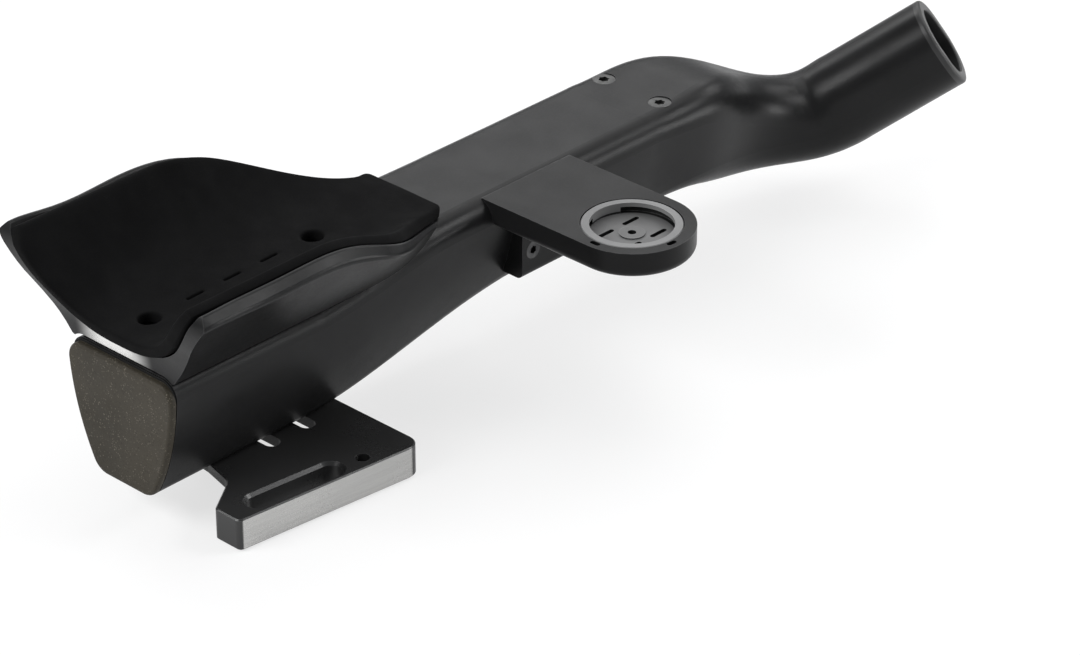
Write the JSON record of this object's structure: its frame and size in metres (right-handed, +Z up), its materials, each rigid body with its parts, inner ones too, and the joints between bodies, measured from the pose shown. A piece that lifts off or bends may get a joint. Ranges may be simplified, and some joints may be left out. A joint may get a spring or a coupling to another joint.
{
  "type": "aero handlebar extension",
  "caption": "Left aero bar extension: formed forearm cradle with foam pad, straight body, upswept open grip, side computer mount and slotted base bracket.",
  "frame": {"origin": "middle of the slot pattern on the underside of the base bracket, where it sits on the bar's riser", "axes": "+Y forwards along the body towards the grip, +Z up, +X to the inner side of the pair, where the computer mount is"},
  "size_m": [0.1537, 0.4245, 0.1067],
  "materials": {
    "body_black": "satin black anodised, formed tube",
    "ring_black": "satin black moulded ring",
    "pad_foam": "matte black closed-cell foam",
    "cap_plastic": "fine speckled warm grey moulding",
    "gasket_rubber": "matte black",
    "insert_dark": "black zinc",
    "screw_steel": "stainless, brushed",
    "insert_brass": "plain",
    "bracket_black": "machined, satin black anodised",
    "screw_dark": "black oxide",
    "arm_black": "machined, satin black anodised",
    "socket_grey": "grey moulded nylon"
  },
  "bodies": {
    "root": {"extension_body": "body_black", "grip_end_ring": "ring_black", "arm_pad": "pad_foam", "end_cap": "cap_plastic", "cap_gasket": "gasket_rubber", "trough_inserts": "insert_dark", "top_screws": "screw_steel", "top_inserts": "insert_brass", "base_bracket": "bracket_black", "bracket_screws": "screw_dark", "bracket_inserts": "insert_brass", "computer_mount_arm": "arm_black", "mount_arm_screws": "screw_dark", "mount_arm_inserts": "insert_brass", "quarter_turn_socket": "socket_grey", "socket_screws": "screw_dark"}
  },
  "joints": []
}
